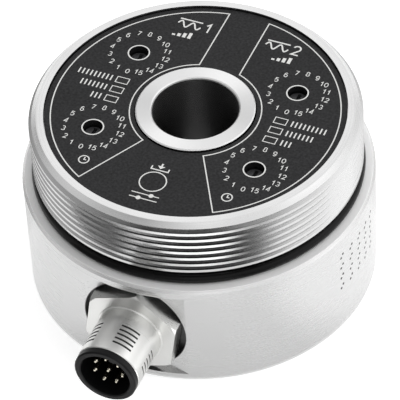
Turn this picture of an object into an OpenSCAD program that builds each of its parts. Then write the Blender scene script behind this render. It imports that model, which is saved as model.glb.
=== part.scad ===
// Round vibration sensor with its screw-on cover taken off.
// Units are millimetres, +Z is up along the screw bore, z = 0 is the mounting face,
// and the plug connector points along -Y.

/* [Housing] */
// diameter of the lower body
base_d = 64; // [62:1:72]
// height of the lower body up to the shoulder
base_h = 23; // [22:0.5:30]
// height of the threaded neck above the shoulder
neck_h = 14; // [13:0.5:18]
// width of the shoulder round the neck
shoulder_w = 2.1; // [1.9:0.1:3]
// chamfer on the lower body's top and bottom edges
edge_c = 0.5; // [0.2:0.1:0.8]
// pitch of the cover thread
thread_pitch = 1.5; // [1:0.25:2]
// depth of the first thread crest below the rim
thread_start = 1.75; // [1.6:0.05:2.2]
// chamfer at the neck's mouth
rim_chamfer = 1.4; // [1.2:0.1:1.8]
// width of the flat rim round the panel
rim_w = 1.35; // [1:0.05:2]
// width of the ledge that carries the panel
ledge_w = 1.65; // [1.2:0.05:2]
// thickness of the body's floor
floor_t = 4; // [3.5:0.5:6]

/* [Screw bore] */
// diameter of the well for the screw head and key
bore_d = 15.5; // [14:0.25:17]
// wall of the sleeve round the well
sleeve_wall = 3; // [2:0.25:3.5]
// clearance hole of the mounting screw
screw_hole_d = 9; // [6.6:0.1:10]
// length of that hole, from the mounting face to the screw's seat
seat_z = 10; // [6:0.5:14]

/* [Cover seal] */
// cord diameter of the ring that seals the cover
seal_cord = 2; // [1.8:0.1:2.6]

/* [Panel] */
// how far the panel lies below the rim
panel_drop = 0.5; // [0.3:0.1:1]
// thickness of the panel plate
plate_t = 1.5; // [1:0.1:2]
// thickness of the printed foil
foil_t = 0.25; // [0.15:0.05:0.4]
// diameter of a dial hole in the foil
dial_hole_d = 3.6; // [3:0.1:4.2]
// angle of the dials from the X axis
dial_a = 33.7; // [31:0.1:36]
// distance between neighbouring status lights
light_pitch = 2.54; // [2.2:0.02:2.8]
// distance of the push button from the panel's outer edge
button_edge = 7.75; // [7:0.25:9]

/* [Rotary switches] */
// side of the square switch body
switch_w = 7.2; // [6:0.1:7.4]
// height of the switch body
switch_h = 5; // [4:0.25:5.5]
// diameter of the turning part
rotor_d = 3.2; // [2.4:0.1:3.4]
// width of the screwdriver slot
slot_w = 0.7; // [0.5:0.05:1]

/* [Button] */
// side of the square key switch
key_w = 6.2; // [5:0.1:6.5]
// diameter of the plunger
plunger_d = 3.4; // [2.4:0.1:3.6]
// free travel under the plunger
plunger_gap = 0.4; // [0.3:0.05:0.8]

/* [Boards] */
// thickness of the circuit boards
board_t = 1.6; // [1:0.1:2]
// clear height between the two boards
board_gap = 7.3; // [6.5:0.1:7.5]
// hexagon of the spacers across flats
spacer_af = 5; // [4:0.5:5.5]
// screw diameter of the spacers
spacer_screw_d = 2.5; // [2:0.5:3]

/* [Connector] */
// outer diameter of the plug connector's barrel
plug_d = 11.9; // [11.5:0.1:12.2]
// pitch of the plug thread
plug_pitch = 1; // [0.75:0.25:1.25]
// number of thread runs round the plug, with plain gaps between them
thread_runs = 5; // [2:1:5]
// angle that one thread run takes
thread_run_a = 36; // [25:1:60]
// angle of the first thread run's middle
thread_mid_a = 68; // [0:1:90]
// number of grooves in a thread run
run_grooves = 5; // [3:1:6]
// from the barrel's end to the middle of the last groove
run_end = 2.15; // [1.5:0.05:2.5]
// hexagon across flats
hex_af = 16.5; // [15:0.1:16.5]
// radius of the round pocket for the hexagon
pocket_r = 9.7; // [9.6:0.1:9.8]
// turn of the tightened hexagon
hex_turn = 21; // [0:1:60]
// depth of the milled flat in the lower body
flat_depth = 1.55; // [1.3:0.05:2]
// depth of the round pocket below the flat
pocket_depth = 1.65; // [1.4:0.05:2]
// how far the connector stands out of the lower body
plug_out = 12; // [11:0.05:15]
// radius of the contact circle
contact_circle = 2.75; // [2.5:0.05:2.9]
// contact diameter
contact_d = 0.8; // [0.7:0.1:1]
// angle of the coding key, seen from the plug side
key_a = 70; // [0:1:360]

/* [Fits] */
// gap round the panel
panel_gap = 0.15; // [0.1:0.05:0.3]
// radial gap of a screwed or seated joint
seat_gap = 0.05; // [0.03:0.01:0.1]
// radial running gap of a turning or sliding piece
run_gap = 0.06; // [0.04:0.01:0.1]

/* [Hidden] */
$fn = 96;
base_r = base_d / 2;
total_h = base_h + neck_h;
thread_r = base_r - shoulder_w;
rim_r = thread_r - rim_chamfer;
recess_r = rim_r - rim_w;
cavity_r = recess_r - ledge_w;
panel_r = recess_r - panel_gap;
bore_r = bore_d / 2;
sleeve_r = bore_r + sleeve_wall;
hole_r = screw_hole_d / 2;
mouth_c = 0.35;
small_c = 0.2;

// cover thread: flat crests, 60 degree grooves
crest_w = 0.37 * thread_pitch;
root_w = 0.07 * thread_pitch;
flank_h = (thread_pitch - crest_w - root_w) / 2;
root_r = thread_r - flank_h / tan(30);
seal_r = seal_cord / 2;
seal_press = 0.08;
relief_r = thread_r - 1.85;
seal_zone = seal_cord + 0.6;
crests = floor((neck_h - seal_zone - thread_start) / thread_pitch) + 1;
// depth where the chamfer runs into the first groove
first_root = thread_start - crest_w / 2 - flank_h - root_w;
chamfer_end = (root_r - rim_r + first_root / tan(30)) / (1 + 1 / tan(30));
last_edge = thread_start + (crests - 1) * thread_pitch + crest_w / 2;
runout = last_edge + (thread_r - relief_r) * tan(30);

// panel and what stands under it
panel_top = total_h - panel_drop;
foil_z = panel_top - foil_t;
plate_z = foil_z - plate_t;
panel_in_r = sleeve_r + panel_gap + 0.05;
switch_gap = 0.25;
switch_top = plate_z - switch_gap;
board_z = switch_top - switch_h;
control_z = board_z - board_t;
power_top = control_z - board_gap;
power_z = power_top - board_t;
board_in_r = sleeve_r + 0.65;
board_out_r = cavity_r - 0.6;
dial_r = (sleeve_r + cavity_r) / 2 + 0.45;
dial_x = dial_r * cos(dial_a);
dial_y = dial_r * sin(dial_a);
rotor_r = rotor_d / 2;
rotor_depth = 2.4;
rotor_up = 0.45;
light_x = dial_x - 0.15;
light_w = 2;
light_l = 1.2;
light_gap = 0.1;
button_r = panel_r - button_edge;
key_h = 3.5;
plunger_r = plunger_d / 2;
plunger_seat = 1.2;

// connector
plug_z = base_h / 2;
flat_y = base_r - flat_depth;
pocket_y = flat_y - pocket_depth;
gasket_t = 0.6;
hex_back = pocket_y + gasket_t;
hex_front = base_r + 0.7;
collar_end = hex_front + 0.3;
plug_front = base_r + plug_out;
ring_t = 1.3;
barrel_end = plug_front - ring_t;
plug_r = plug_d / 2;
insert_r = plug_r - 0.85;
socket_r = insert_r - 0.4;
socket_depth = 8.8;
stud_end = cavity_r + 0.1;
insert_end = cavity_r - 1;
tail_end = cavity_r - 2.3;
contact_r = contact_d / 2;
contact_drop = 1.4;
lead_r = 0.3;
lead_bend = 0.9;
// grooves of a thread run: width at the barrel's surface, depth of a 60 degree cut
groove_w = 0.46 * plug_pitch;
groove_root = 0.06;
groove_depth = (groove_w - groove_root) / 2 / tan(30);
groove_over = 0.2;
groove_open = groove_w + 2 * groove_over * tan(30);

// pieces on the boards, placed from the sleeve outwards
part_in = sleeve_r + 1.35;
part_gap = 0.4;
relay_w = 7;
relay_l = 9.6;
relay_h = 5.2;
chip_w = 7;
chip_h = 1.2;
chip_y = 2.5 + chip_w / 2;
link_w = 5;
link_l = 10.2;
link_y = 0.9 + link_l / 2;
sense_w = 9;
sense_l = 11;
sense_x = part_in + 0.2 + sense_w / 2;
sense_y = sense_l / 2 - 1.5;
cell_w = 5;
cell_h = 1.9;
cell_x = part_in + 1 + cell_w / 2;
sense_lead_x = sense_x + sense_w / 2 - 1.1;
sense_lead_pitch = 1.8;

// spacers
spacer_pos = [[0, 1], [0.43, -0.903], [-0.43, -0.903]];
spacer_ring = cavity_r - 4;
stud_r = spacer_screw_d / 2;
stud_in = 2.5;
head_r = 0.9 * spacer_screw_d;
head_h = 0.68 * spacer_screw_d;

// signs of the four dials: 1 back left, 2 front left, 3 back right, 4 front right
function dial_at(i) = [(i < 3 ? -1 : 1) * dial_x, (i % 2 == 1 ? 1 : -1) * dial_y];
// the lights: 1 to 3 left from back to front, 4 to 6 right
function light_at(i) = [(i < 4 ? -1 : 1) * light_x, (i < 4 ? 2 - i : 5 - i) * light_pitch];
function spacer_at(i) = spacer_pos[i - 1] * spacer_ring;
// contact 0 is the middle one, 1 to 7 stand on the circle opposite the key, to a hundredth
function snap(v) = round(100 * v) / 100;
function contact_at(i) = i == 0 ? [0, 0] : [snap(contact_circle * cos(key_a + 180 + i * 360 / 7)),
                                            snap(contact_circle * sin(key_a + 180 + i * 360 / 7))];
// height and radius of the cover thread's profile, from the rim down
thread_pts = [for (i = [0 : crests - 1], k = [0 : 3])
    let (top = thread_start + i * thread_pitch - crest_w / 2)
    k == 0 ? [root_r, total_h - (top - flank_h - root_w)] :
    k == 1 ? [root_r, total_h - (top - flank_h)] :
    k == 2 ? [thread_r, total_h - top] : [thread_r, total_h - (top + crest_w)]];

// turns a shape built along +Z so that it points out through the side, along -Y
module plugwards() {
    translate([0, 0, plug_z])
        rotate([90, 0, 0])
            children();
}

module box(size, at) {
    translate([at[0] - size[0] / 2, at[1] - size[1] / 2, at[2]])
        cube(size);
}

module ring(r_out, r_in, h, z) {
    translate([0, 0, z])
        difference() {
            cylinder(r = r_out, h = h);
            translate([0, 0, -1])
                cylinder(r = r_in, h = h + 2);
        }
}

module body_profile() {
    polygon(concat(
        [[hole_r, 0], [base_r - edge_c, 0], [base_r, edge_c], [base_r, base_h - edge_c],
         [base_r - edge_c, base_h], [relief_r, base_h], [relief_r, total_h - runout]],
        [for (i = [len(thread_pts) - 1 : -1 : 0]) thread_pts[i]],
        [[rim_r + chamfer_end, total_h - chamfer_end], [rim_r, total_h], [recess_r, total_h],
         [recess_r, plate_z], [cavity_r, plate_z], [cavity_r, floor_t], [sleeve_r, floor_t],
         [sleeve_r, total_h - small_c], [sleeve_r - small_c, total_h], [bore_r + mouth_c, total_h],
         [bore_r, total_h - mouth_c], [bore_r, seat_z], [hole_r, seat_z]]));
}

module housing() {
    color([0.80, 0.80, 0.79])
        difference() {
            rotate_extrude()
                body_profile();
            // milled flat for the connector, with a ledge above and below
            translate([-base_r, -base_r - 1, plug_z - pocket_r])
                cube([2 * base_r, base_r + 1 - flat_y, 2 * pocket_r]);
            plugwards() {
                translate([0, 0, pocket_y])
                    cylinder(r = pocket_r, h = flat_depth + pocket_depth + 1);
                translate([0, 0, cavity_r - 5])
                    cylinder(r = plug_r + seat_gap, h = pocket_y - cavity_r + 6);
            }
            // tapped holes for the lower spacers
            for (i = [1 : 3])
                translate([spacer_at(i)[0], spacer_at(i)[1], floor_t - stud_in - 0.2])
                    cylinder(r = stud_r + seat_gap, h = stud_in + 1.2, $fn = 32);
        }
}

module cover_seal() {
    color([0.05, 0.05, 0.05])
        difference() {
            translate([0, 0, base_h + seal_r - seal_press])
                rotate_extrude()
                    translate([relief_r + 0.15 + seal_r, 0])
                        circle(r = seal_r, $fn = 48);
            translate([0, 0, base_h - 2])
                cylinder(r = base_r, h = 2);
        }
}

module front_plate() {
    color([0.10, 0.10, 0.10])
        difference() {
            ring(panel_r, panel_in_r, plate_t, plate_z);
            for (i = [1 : 4])
                translate([dial_at(i)[0], dial_at(i)[1], plate_z - 1])
                    cylinder(d = dial_hole_d + 0.2, h = plate_t + 2, $fn = 48);
            for (i = [1 : 6])
                box([light_w + 2 * light_gap, light_l + 2 * light_gap, plate_t + 2],
                    [light_at(i)[0], light_at(i)[1], plate_z - 1]);
            translate([0, -button_r, plate_z - 1])
                cylinder(r = plunger_r + 0.3, h = plate_t + 2, $fn = 48);
        }
}

module front_foil() {
    color([0.14, 0.14, 0.14])
        difference() {
            ring(panel_r, panel_in_r, foil_t, foil_z);
            for (i = [1 : 4])
                translate([dial_at(i)[0], dial_at(i)[1], foil_z - 1])
                    cylinder(d = dial_hole_d, h = foil_t + 2, $fn = 48);
        }
}

module switch_body(i) {
    color([0.16, 0.16, 0.17])
        difference() {
            box([switch_w, switch_w, switch_h], [dial_at(i)[0], dial_at(i)[1], board_z]);
            translate([dial_at(i)[0], dial_at(i)[1], switch_top - rotor_depth])
                cylinder(r = rotor_r + run_gap, h = rotor_depth + 1, $fn = 48);
        }
}

// turning part with a screwdriver slot and a pointer notch at one end of it
module switch_rotor(i) {
    color([0.22, 0.22, 0.23])
        translate([dial_at(i)[0], dial_at(i)[1], switch_top - rotor_depth + run_gap])
            difference() {
                cylinder(r = rotor_r, h = rotor_depth + rotor_up - run_gap, $fn = 48);
                translate([-slot_w / 2, -0.8 * rotor_r, rotor_depth + rotor_up - run_gap - 0.8])
                    cube([slot_w, 1.6 * rotor_r, 2]);
                translate([0, -0.42 * rotor_r, rotor_depth + rotor_up - run_gap - 0.5])
                    linear_extrude(2)
                        polygon([[-0.5 * rotor_r, 0], [0, -0.5 * rotor_r], [0.5 * rotor_r, 0]]);
            }
}

module led(i) {
    color([0.92, 0.90, 0.80])
        box([1.6, 0.8, 0.8], [light_at(i)[0], light_at(i)[1], board_z]);
}

// clear moulding that carries the light of three lamps to the foil
module light_guide(side) {
    color([0.85, 0.88, 0.90, 0.6])
        union() {
            box([light_w + 0.8, 2 * light_pitch + light_l + 0.8, 1.2],
                [side * light_x, 0, plate_z - 1.2]);
            for (i = [-1 : 1]) {
                box([light_w, light_l, plate_t + 0.5],
                    [side * light_x, i * light_pitch, plate_z - 0.5]);
                box([light_w, light_l, switch_h - 1.2],
                    [side * light_x, i * light_pitch, board_z + 1]);
            }
        }
}

module button_body() {
    color([0.20, 0.20, 0.20])
        difference() {
            box([key_w, key_w, key_h], [0, -button_r, board_z]);
            translate([0, -button_r, board_z + key_h - plunger_seat])
                cylinder(r = plunger_r + run_gap, h = plunger_seat + 1, $fn = 48);
        }
}

module button_plunger() {
    color([0.75, 0.74, 0.70])
        translate([0, -button_r, board_z + key_h - plunger_seat + plunger_gap])
            cylinder(r = plunger_r, $fn = 48,
                     h = foil_z - 0.05 - (board_z + key_h - plunger_seat + plunger_gap));
}

module board(z) {
    difference() {
        ring(board_out_r, board_in_r, board_t, z);
        for (i = [1 : 3])
            translate([spacer_at(i)[0], spacer_at(i)[1], z - 1])
                cylinder(r = stud_r + 0.15, h = board_t + 2, $fn = 32);
    }
}

module control_board() {
    color([0.05, 0.30, 0.14])
        board(control_z);
}

module power_board() {
    color([0.05, 0.30, 0.14])
        board(power_z);
}

module relay(side) {
    color([0.85, 0.85, 0.82])
        box([relay_w, relay_l, relay_h], [side * (part_in + relay_w / 2), part_gap + relay_l / 2, power_top]);
}

module controller_chip() {
    color([0.08, 0.08, 0.09])
        box([chip_w, chip_w, chip_h], [part_in + chip_w / 2, -chip_y, power_top]);
}

module board_link() {
    color([0.09, 0.09, 0.09])
        box([link_w, link_l, board_gap], [-(part_in + 1 + link_w / 2), -link_y, power_top]);
}

module spacer_low(i) {
    color([0.78, 0.66, 0.36])
        translate([spacer_at(i)[0], spacer_at(i)[1], 0])
            union() {
                translate([0, 0, floor_t])
                    cylinder(d = spacer_af / cos(30), h = power_z - floor_t, $fn = 6);
                translate([0, 0, floor_t - stud_in])
                    cylinder(r = stud_r, h = power_top + stud_in - (floor_t - stud_in), $fn = 32);
            }
}

module spacer_high(i) {
    color([0.78, 0.66, 0.36])
        translate([spacer_at(i)[0], spacer_at(i)[1], power_top])
            difference() {
                cylinder(d = spacer_af / cos(30), h = board_gap, $fn = 6);
                translate([0, 0, -1])
                    cylinder(r = stud_r + seat_gap, h = board_gap + 2, $fn = 32);
            }
}

module board_screw(i) {
    color([0.70, 0.70, 0.70])
        translate([spacer_at(i)[0], spacer_at(i)[1], 0])
            difference() {
                union() {
                    translate([0, 0, board_z])
                        cylinder(r = head_r, h = head_h, $fn = 32);
                    translate([0, 0, board_z - board_t - 3])
                        cylinder(r = stud_r, h = board_t + 3.5, $fn = 32);
                }
                box([0.6, 3 * head_r, 1], [0, 0, board_z + head_h - 0.7]);
            }
}

module sensor_board() {
    color([0.05, 0.30, 0.14])
        box([sense_w, sense_l, board_t], [sense_x, sense_y, floor_t]);
}

module accelerometer() {
    color([0.62, 0.62, 0.60])
        box([cell_w, cell_w, cell_h], [cell_x, sense_y, floor_t + board_t]);
}

module sensor_leads() {
    color([0.75, 0.12, 0.10])
        for (i = [0 : 3])
            translate([sense_lead_x, sense_y + (i - 1.5) * sense_lead_pitch, floor_t + board_t])
                cylinder(r = lead_r, h = power_z - floor_t - board_t, $fn = 24);
}

module shell_profile() {
    polygon(
        [[insert_r + seat_gap, stud_end], [plug_r - 0.4, stud_end], [plug_r, stud_end + 0.4],
         [plug_r, hex_back + 0.5], [plug_r + 0.3, hex_back + 0.5], [plug_r + 0.3, collar_end - 0.15],
         [plug_r + 0.15, collar_end], [plug_r, collar_end], [plug_r, barrel_end - 0.15],
         [plug_r - 0.15, barrel_end], [insert_r + seat_gap, barrel_end]]);
}

// grooves of one run of the interrupted thread, from the last one inwards
module run_profile() {
    for (i = [0 : run_grooves - 1])
        translate([plug_r, barrel_end - run_end - i * plug_pitch])
            polygon([[-groove_depth, -groove_root / 2], [groove_over, -groove_open / 2],
                     [groove_over, groove_open / 2], [-groove_depth, groove_root / 2]]);
}

module connector_shell() {
    color([0.78, 0.78, 0.76])
        plugwards()
            union() {
                difference() {
                    rotate_extrude()
                        shell_profile();
                    for (i = [0 : thread_runs - 1])
                        rotate(thread_mid_a - thread_run_a / 2 + i * 360 / thread_runs)
                            rotate_extrude(angle = thread_run_a)
                                run_profile();
                }
                difference() {
                    intersection() {
                        rotate(hex_turn)
                            translate([0, 0, hex_back])
                                cylinder(d = hex_af / cos(30), h = hex_front - hex_back, $fn = 6);
                        // turned chamfer that rounds the hexagon's front corners
                        rotate_extrude()
                            polygon([[0, hex_back - 1], [hex_af, hex_back - 1], [hex_af, hex_front - hex_af / 4],
                                     [hex_af / 2 + 0.75, hex_front], [0, hex_front]]);
                    }
                    translate([0, 0, hex_back - 1])
                        cylinder(r = plug_r - 0.3, h = hex_front - hex_back + 2);
                }
            }
}

module connector_insert() {
    color([0.12, 0.12, 0.12])
        plugwards()
            union() {
                difference() {
                    rotate_extrude()
                        polygon([[0, insert_end], [socket_r, insert_end], [socket_r, stud_end],
                                 [insert_r, stud_end], [insert_r, barrel_end], [plug_r - 0.1, barrel_end],
                                 [plug_r - 0.1, plug_front - 0.25], [plug_r - 0.35, plug_front],
                                 [socket_r + 0.2, plug_front], [socket_r, plug_front - 0.2],
                                 [socket_r, plug_front - socket_depth], [0, plug_front - socket_depth]]);
                    for (i = [0 : 7])
                        translate([contact_at(i)[0], contact_at(i)[1], insert_end - 1])
                            cylinder(r = contact_r + 0.02, h = plug_front - socket_depth - insert_end + 2,
                                     $fn = 24);
                }
                // coding key inside the socket
                rotate(key_a)
                    translate([socket_r - 0.85, -0.55, plug_front - socket_depth - 0.1])
                        cube([1.1, 1.1, socket_depth - 0.4]);
            }
}

module contact_pins() {
    color([0.85, 0.70, 0.35])
        plugwards()
            for (i = [0 : 7])
                translate([contact_at(i)[0], contact_at(i)[1], 0])
                    rotate_extrude($fn = 24)
                        polygon([[0, tail_end], [contact_r, tail_end],
                                 [contact_r, plug_front - contact_drop - 0.35],
                                 [0.45 * contact_r, plug_front - contact_drop],
                                 [0, plug_front - contact_drop]]);
}

module connector_seal() {
    color([0.06, 0.06, 0.06])
        plugwards()
            ring(plug_r + 1.6, plug_r + seat_gap, gasket_t, pocket_y);
}

// leads from the contacts' tails, inwards and then up to the lower board
module connector_leads() {
    color([0.75, 0.55, 0.12])
        for (i = [0 : 7]) {
            p = contact_at(i);
            row = p[1] > 1 ? 0 : p[1] > -1.5 ? 1 : 2;
            y_up = -tail_end + 1.5 + row;
            z_in = plug_z + p[1];
            translate([p[0], 0, 0]) {
                translate([0, -tail_end, z_in])
                    rotate([-90, 0, 0])
                        cylinder(r = lead_r, h = y_up - lead_bend + tail_end, $fn = 24);
                translate([0, y_up - lead_bend, z_in + lead_bend])
                    rotate([0, 90, 0])
                        rotate_extrude(angle = 90, $fn = 24)
                            translate([lead_bend, 0])
                                circle(r = lead_r, $fn = 24);
                translate([0, y_up, z_in + lead_bend])
                    cylinder(r = lead_r, h = power_z - z_in - lead_bend, $fn = 24);
            }
        }
}

housing();
cover_seal();
front_plate();
front_foil();
switch_body(1);  // switch_body_1
switch_body(2);  // switch_body_2
switch_body(3);  // switch_body_3
switch_body(4);  // switch_body_4
switch_rotor(1);  // switch_rotor_1
switch_rotor(2);  // switch_rotor_2
switch_rotor(3);  // switch_rotor_3
switch_rotor(4);  // switch_rotor_4
led(1);  // led_1
led(2);  // led_2
led(3);  // led_3
led(4);  // led_4
led(5);  // led_5
led(6);  // led_6
light_guide(-1);  // light_guide_left
light_guide(1);  // light_guide_right
button_body();
button_plunger();
control_board();
power_board();
relay(-1);  // relay_1
relay(1);  // relay_2
controller_chip();
board_link();
spacer_low(1);  // spacer_low_1
spacer_low(2);  // spacer_low_2
spacer_low(3);  // spacer_low_3
spacer_high(1);  // spacer_high_1
spacer_high(2);  // spacer_high_2
spacer_high(3);  // spacer_high_3
board_screw(1);  // board_screw_1
board_screw(2);  // board_screw_2
board_screw(3);  // board_screw_3
sensor_board();
accelerometer();
sensor_leads();
connector_shell();
connector_insert();
contact_pins();
connector_seal();
connector_leads();
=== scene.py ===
"""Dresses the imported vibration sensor: turned steel, printed panel, dials, plug and a plain studio."""
import math
from collections import namedtuple

import bpy
import numpy as np
from bpy.props import FloatProperty, FloatVectorProperty, PointerProperty
from bpy.types import Operator, Panel, PropertyGroup
from mathutils import Matrix, Vector


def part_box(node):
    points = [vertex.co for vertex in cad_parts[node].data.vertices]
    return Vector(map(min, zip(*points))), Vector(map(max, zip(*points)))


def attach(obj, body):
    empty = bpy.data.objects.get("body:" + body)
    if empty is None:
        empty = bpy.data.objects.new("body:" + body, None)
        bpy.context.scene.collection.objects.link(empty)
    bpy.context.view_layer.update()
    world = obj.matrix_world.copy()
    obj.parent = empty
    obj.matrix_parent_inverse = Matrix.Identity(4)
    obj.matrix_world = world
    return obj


bl_info = {
    "name": "Vibration sensor dressing",
    "version": (1, 0, 0),
    "blender": (4, 5, 0),
    "location": "View3D > Sidebar > Sensor",
    "description": "Finishes, panel print and studio for a round vibration sensor",
    "category": "Object",
}

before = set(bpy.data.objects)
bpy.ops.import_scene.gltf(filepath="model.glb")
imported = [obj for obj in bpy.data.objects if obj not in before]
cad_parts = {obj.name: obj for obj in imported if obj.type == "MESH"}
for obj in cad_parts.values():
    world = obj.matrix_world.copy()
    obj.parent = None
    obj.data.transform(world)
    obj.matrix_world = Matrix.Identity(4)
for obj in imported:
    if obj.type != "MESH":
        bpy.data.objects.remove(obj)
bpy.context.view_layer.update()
MM = 0.001
DIALS = range(1, 5)
LIGHTS = range(1, 7)
SPACERS = range(1, 4)
# the screw bore's axis: a point on it and its direction
BORE_AXIS = (0, 0, 0), (0, 0, 1)


def linear(text):
    """Linear red, green and blue of an sRGB hex colour: c/12.92 in the toe, and ((c + 0.055)/1.055)^2.4
    above it."""
    part = np.array([int(text[i:i + 2], 16) for i in (1, 3, 5)]) / 255
    return tuple(np.where(part <= 0.04045, part / 12.92, ((part + 0.055) / 1.055) ** 2.4).tolist())


def middle(name):
    """Centre of a node's box, in metres."""
    low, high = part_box(name)
    return (np.array(low) + np.array(high)) / 2


def plug_axis():
    """The plug's axis, at the height of its gasket: a point on it and its direction."""
    return (0, 0, float(middle("connector_seal")[2])), (0, -1, 0)


def foil_top():
    """Height of the foil's upper face, which carries the print."""
    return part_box("front_foil")[1][2]


def node(tree, kind, sockets=None, **settings):
    """Adds one node: settings are its own options, sockets are input values or the outputs that feed them."""
    made = tree.nodes.new(kind)
    for name, value in settings.items():
        setattr(made, name, value)
    for key, value in (sockets or {}).items():
        if isinstance(value, bpy.types.NodeSocket):
            tree.links.new(value, made.inputs[key])
        else:
            made.inputs[key].default_value = value
    return made


def length(name, description, mm):
    """A length that a user may change, from its default in millimetres."""
    return FloatProperty(name=name, description=description, default=mm * MM, unit="LENGTH", precision=6)


def angle(name, description, degrees):
    """An angle that a user may change, from its default in degrees."""
    return FloatProperty(name=name, description=description, default=math.radians(degrees), subtype="ANGLE")


def colour(name, description, text):
    """A colour that a user may change, from its default as sRGB hex."""
    return FloatVectorProperty(name=name, description=description, default=linear(text), subtype="COLOR",
                               min=0, max=1)


class SensorSizes(PropertyGroup):
    """Sizes of the print and of the marks."""
    line: length("Line", "Width of the printed frame lines", 0.22)
    ink: length("Ink", "Thickness of the printed ink", 0.012)
    frame_in: length("Frame inside", "Radius of the frames' inner arc", 11.8)
    frame_out: length("Frame outside", "Radius of the frames' outer arc", 25.9)
    frame_back: length("Frame back", "Distance of the frames' back line from the middle", 3.9)
    frame_front: angle("Frame front", "Angle of the frames' front line from the plug", 29.3)
    dial_ring: length("Dial ring", "Radius of the ring round a dial", 1.92)
    number_ring: length("Number ring", "Distance of a dial's numbers from its axis", 5.2)
    number_h: length("Number height", "Height of a dial's numbers", 1.02)
    button_ring: length("Button ring", "Radius of the ring round the push button", 2.38)
    dot: length("Dot", "Radius of a dot on the body's side", 0.26)


class SensorColours(PropertyGroup):
    """Colours of what shows most."""
    steel: colour("Steel", "Turned stainless steel", "#CFCFCF")
    foil: colour("Foil", "Ground of the panel foil", "#252526")
    print: colour("Print", "Ink of the panel print", "#D2D2D0")
    seal: colour("Seal", "Rubber of the seals", "#070707")
    insert: colour("Insert", "Plastic of the plug's insert", "#0C0C0D")


class SensorStudio(PropertyGroup):
    """Camera and light."""
    azimuth: angle("Azimuth", "Camera's angle round the part, from the plug side", 25.122)
    elevation: angle("Elevation", "Camera's angle above the floor", 45.206)
    roll: angle("Roll", "Camera's turn about its own axis", -3.456)
    distance: length("Distance", "Camera's distance from the point it looks at", 606.336)
    aim: FloatVectorProperty(name="Aim", description="Point the camera looks at",
                             default=(-0.00015, -0.00007, 0.013715), subtype="TRANSLATION")
    lens: FloatProperty(name="Lens", description="Focal length on a 36 mm sensor", default=298.49)
    sky: FloatProperty(name="Sky", description="Brightness of the room round the part", default=1.35)


def ribbon(path, width, low, thick, closed):
    """A flat line carried along a path on the panel. Each point moves half the width to either side along
    (n1 + n2) / (1 + n1.n2), the mitre of the normals before and after it, at two heights, and the four
    tracks are joined into a closed band."""
    path = np.asarray(path, float)
    step = np.roll(path, -1, axis=0) - path
    step /= np.linalg.norm(step, axis=1)[:, None] + 1e-30
    after = np.c_[-step[:, 1], step[:, 0]]
    before = np.roll(after, 1, axis=0)
    if not closed:
        after[-1] = after[-2]
        before[0] = after[0]
    side = (before + after) / (1 + (before * after).sum(1))[:, None] * width / 2
    n = len(path)
    top, bottom = np.full(n, low + thick), np.full(n, low)
    tracks = [np.c_[path + side, top], np.c_[path - side, top],
              np.c_[path - side, bottom], np.c_[path + side, bottom]]
    verts = np.stack(tracks, axis=1).reshape(-1, 3)
    i = np.arange(n if closed else n - 1)[:, None] * 4
    j = (i + 4) % (4 * n)
    k = np.arange(4)[None]
    m = (k + 1) % 4
    faces = [np.stack([i + k, i + m, j + m, j + k], axis=2).reshape(-1, 4)]
    if not closed:
        last = 4 * n
        faces.append(np.array([[3, 2, 1, 0], [last - 4, last - 3, last - 2, last - 1]]))
    return verts, faces


def tablet(outline, low, thick):
    """A flat shape with straight walls: its outline, anticlockwise, at two heights, and a wall between them."""
    outline = np.asarray(outline, float)
    n = len(outline)
    verts = np.concatenate([np.c_[outline, np.full(n, low + thick)], np.c_[outline, np.full(n, low)]])
    i = np.arange(n)
    j = (i + 1) % n
    return verts, [i[None], i[::-1][None] + n, np.stack([i + n, j + n, j, i], axis=1)]


def arc(centre, radius, start, end, steps):
    """Points centre + radius (cos t, sin t) for t from start to end, in degrees."""
    t = np.radians(np.linspace(start, end, steps))
    return np.asarray(centre) + radius * np.c_[np.cos(t), np.sin(t)]


def circle(centre, radius, steps=64):
    """The points of a whole circle, anticlockwise, without its end point."""
    return arc(centre, radius, 0, 360, steps + 1)[:-1]


def bar(x0, y0, x1, y1):
    """The corners of an upright rectangle, anticlockwise."""
    return np.array([[x0, y0], [x1, y0], [x1, y1], [x0, y1]])


def light_bars(half):
    """The corners of a rectangle over each light, which reaches half, in mm, to either side of its middle."""
    half = np.array(half) * MM
    return [bar(*(middle(f"led_{i}")[:2] - half), *(middle(f"led_{i}")[:2] + half)) for i in LIGHTS]


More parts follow.
